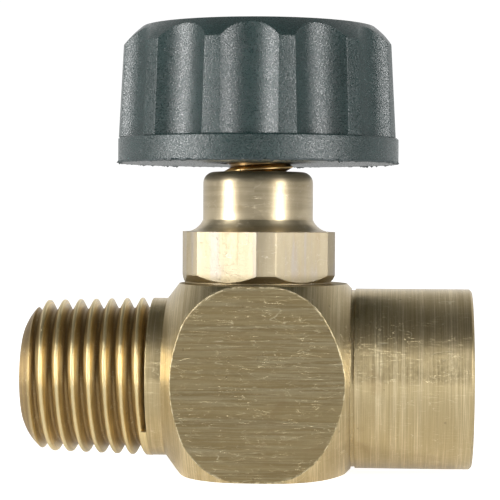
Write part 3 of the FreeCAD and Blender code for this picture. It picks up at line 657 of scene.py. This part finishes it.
def flash_ring():
    """Thin ragged flash round the bottom edge of the knob's skirt."""
    bm = bmesh.new()
    rows = []
    for i in range(FLASH_STEPS):
        a = 2.0 * math.pi * i / FLASH_STEPS
        around = Vector((math.cos(a), math.sin(a), 0.0))
        rough = sum(share * noise.noise(around * wave) for wave, share in FLASH_WAVES)
        patch = max(0.0, noise.noise(around * 3.1 + FLASH_PATCH) + 0.25)
        out = FLASH_OUT * (0.18 + max(0.0, rough) * (0.5 + 2.2 * patch))
        drop = FLASH_OUT * (0.10 + max(0.0, -rough) * (0.4 + 1.6 * patch))
        points = [
            around * (SKIRT_R - 0.25) + Vector((0.0, 0.0, SKIRT_LOW + 0.02)),
            around * (SKIRT_R - 0.08) + Vector((0.0, 0.0, SKIRT_LOW - drop)),
            around * (SKIRT_R + out) + Vector((0.0, 0.0, SKIRT_LOW + 0.03)),
            around * (SKIRT_R - 0.02) + Vector((0.0, 0.0, SKIRT_LOW + 0.20)),
            around * (SKIRT_R - 0.25) + Vector((0.0, 0.0, SKIRT_LOW + 0.16)),
        ]
        rows.append([bm.verts.new(point * MM) for point in points])
    for i in range(FLASH_STEPS):
        here, after = rows[i], rows[(i + 1) % FLASH_STEPS]
        for k in range(len(here)):
            j = (k + 1) % len(here)
            bm.faces.new((here[k], after[k], after[j], here[j]))
    bmesh.ops.recalc_face_normals(bm, faces=bm.faces)
    mesh = bpy.data.meshes.new("knob_flash")
    bm.to_mesh(mesh)
    bm.free()
    ring = bpy.data.objects.new("knob_flash", mesh)
    bpy.context.scene.collection.objects.link(ring)
    return ring


class VALVE_OT_flash(bpy.types.Operator):
    """Add the moulding flash round the knob's skirt"""
    bl_idname = "valve.flash"
    bl_label = "Moulding flash"

    def execute(self, context):
        _, plastic, _ = settings()
        ring = flash_ring()
        ring.data.materials.append(
            moulded_finish("flash_plastic", tuple(plastic.cap_colour), 0.24, 1.0, 0.2))
        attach(ring, "spindle_and_knob")
        return {"FINISHED"}


class VALVE_OT_knob(bpy.types.Operator):
    """Finish the moulded hand knob and its cap"""
    bl_idname = "valve.knob"
    bl_label = "Hand knob"

    def execute(self, context):
        _, plastic, _ = settings()
        wear_on(NODES["hand_knob"], moulded_finish("knob_plastic", tuple(plastic.knob_colour), 0.12))
        wear_on(NODES["knob_cap"], moulded_finish("cap_plastic", tuple(plastic.cap_colour), 0.17))
        return {"FINISHED"}


# ------------------------------------------------------------------ stage
def softbox(name, azimuth, elevation, distance, width, height, radiance, aim):
    """Rectangular area light that looks at the aim point."""
    data = bpy.data.lights.new(name, "AREA")
    data.shape = "RECTANGLE"
    data.size = width
    data.size_y = height
    data.energy = radiance * math.pi * width * height
    light = bpy.data.objects.new(name, data)
    a, e = math.radians(azimuth), math.radians(elevation)
    away = Vector((math.sin(a) * math.cos(e), -math.cos(a) * math.cos(e), math.sin(e)))
    light.location = aim + away * distance
    light.rotation_euler = away.to_track_quat("Z", "Y").to_euler()
    bpy.context.scene.collection.objects.link(light)


def studio_world(stage):
    """Bright room behind the object, darker in front and overhead."""
    world = bpy.data.worlds.new("studio")
    bpy.context.scene.world = world
    world.use_nodes = True
    t = Tree(world.node_tree)
    world.node_tree.nodes.clear()
    coordinate = t.add("ShaderNodeTexCoord")
    parts = t.add("ShaderNodeSeparateXYZ")
    t.put(parts.inputs[0], coordinate.outputs["Generated"])
    _, y, z = parts.outputs
    back = t.smooth(y, -0.15, 0.80)
    over = t.smooth(z, 0.30, 0.85, 1.0, 0.4)
    level = t.math("MULTIPLY", back, over)
    span = stage.surround - stage.front
    value = t.math("ADD", t.math("MULTIPLY", level, span), stage.front)
    seen = t.add("ShaderNodeLightPath")
    value = t.math("MAXIMUM", value, t.math("MULTIPLY", seen.outputs["Is Camera Ray"], 1.05))
    background = t.add("ShaderNodeBackground")
    background.inputs["Color"].default_value = (1.0, 1.0, 1.0, 1.0)
    output = t.add("ShaderNodeOutputWorld")
    t.put(background.inputs["Strength"], value)
    t.tree.links.new(background.outputs[0], output.inputs["Surface"])


def floor_material():
    material = bpy.data.materials.new("pale_floor")
    material.use_nodes = True
    bsdf = material.node_tree.nodes["Principled BSDF"]
    bsdf.inputs["Base Color"].default_value = (0.88, 0.88, 0.88, 1.0)
    bsdf.inputs["Roughness"].default_value = 0.9
    bsdf.inputs["Specular IOR Level"].default_value = 0.0
    bsdf.inputs["Emission Color"].default_value = (1.0, 1.0, 1.0, 1.0)
    t = Tree(material.node_tree)
    seen = t.add("ShaderNodeLightPath")
    glow = t.math("MULTIPLY", seen.outputs["Is Camera Ray"], 0.55)
    t.put(bsdf.inputs["Emission Strength"], t.math("ADD", glow, 0.30))
    return material


def studio_camera():
    """Long lens slightly to the female side and a little above the flow axis."""
    yaw, pitch, roll = math.radians(3.9637), math.radians(1.0676), math.radians(0.2669)
    distance, side, rise = 162.076, -0.668, 0.8155
    across = Vector((math.cos(yaw), math.sin(yaw), 0.0))
    ahead = Vector((-math.sin(yaw), math.cos(yaw), 0.0))
    depth = math.cos(pitch) * ahead - math.sin(pitch) * Vector((0.0, 0.0, 1.0))
    up = math.sin(pitch) * ahead + math.cos(pitch) * Vector((0.0, 0.0, 1.0))
    place = Vector((0.0, 0.0, 18.0)) + side * across + rise * up - distance * depth
    right = math.cos(roll) * across + math.sin(roll) * up
    top = -math.sin(roll) * across + math.cos(roll) * up
    data = bpy.data.cameras.new("studio_camera")
    data.sensor_width = 36.0
    data.lens = 1904.02 / 500.0 * 36.0
    data.clip_start = 0.01
    data.clip_end = 50.0
    camera = bpy.data.objects.new("studio_camera", data)
    matrix = Matrix((right, top, -depth)).transposed().to_4x4()
    matrix.translation = place * MM
    camera.matrix_world = matrix
    bpy.context.scene.collection.objects.link(camera)
    bpy.context.scene.camera = camera


class VALVE_OT_stage(bpy.types.Operator):
    """Build the pale floor, the softboxes, the room and the camera"""
    bl_idname = "valve.stage"
    bl_label = "Stage"

    def execute(self, context):
        _, _, stage = settings()
        scene = context.scene
        mesh = bpy.data.meshes.new("floor")
        bm = bmesh.new()
        bmesh.ops.create_grid(bm, x_segments=1, y_segments=1, size=stage.floor_size / 2.0)
        bm.to_mesh(mesh)
        bm.free()
        floor = bpy.data.objects.new("floor", mesh)
        floor.location.z = CAD_LOW.z - FLOOR_GAP
        mesh.materials.append(floor_material())
        scene.collection.objects.link(floor)
        aim = Vector((0.0, 0.0, 0.018))
        softbox("softbox_left", -60.0, 2.0, 0.34, 0.085, 0.40, stage.key_radiance, aim)
        softbox("softbox_right", 50.0, 2.0, 0.34, 0.075, 0.40, stage.fill_radiance, aim)
        studio_world(stage)
        studio_camera()
        scene.view_settings.view_transform = "Standard"
        scene.view_settings.look = "None"
        return {"FINISHED"}


class VALVE_PT_panel(bpy.types.Panel):
    """Sidebar panel that lists the pieces of the valve"""
    bl_idname = "VALVE_PT_panel"
    bl_label = "Needle valve"
    bl_space_type = "VIEW_3D"
    bl_region_type = "UI"
    bl_category = "Valve"

    def draw(self, context):
        layout = self.layout
        for group in (context.scene.valve_metal, context.scene.valve_plastic, context.scene.valve_stage):
            box = layout.box()
            for key in group.__annotations__:
                box.prop(group, key)
        for operator in OPERATORS:
            layout.operator(operator.bl_idname)


OPERATORS = [
    VALVE_OT_body,
    VALVE_OT_bonnet,
    VALVE_OT_spindle,
    VALVE_OT_seals,
    VALVE_OT_fastening,
    VALVE_OT_knob,
    VALVE_OT_flash,
    VALVE_OT_stage,
]
SETTINGS = {
    "valve_metal": ValveMetalSettings,
    "valve_plastic": ValvePlasticSettings,
    "valve_stage": ValveStageSettings,
}


def register():
    for key, group in SETTINGS.items():
        bpy.utils.register_class(group)
        setattr(bpy.types.Scene, key, bpy.props.PointerProperty(type=group))
    for cls in OPERATORS:
        bpy.utils.register_class(cls)
    bpy.utils.register_class(VALVE_PT_panel)


def unregister():
    bpy.utils.unregister_class(VALVE_PT_panel)
    for cls in reversed(OPERATORS):
        bpy.utils.unregister_class(cls)
    for key, group in SETTINGS.items():
        delattr(bpy.types.Scene, key)
        bpy.utils.unregister_class(group)


def main():
    register()
    for cls in OPERATORS:
        space, name = cls.bl_idname.split(".")
        getattr(getattr(bpy.ops, space), name)()


if __name__ == "__main__":
    main()
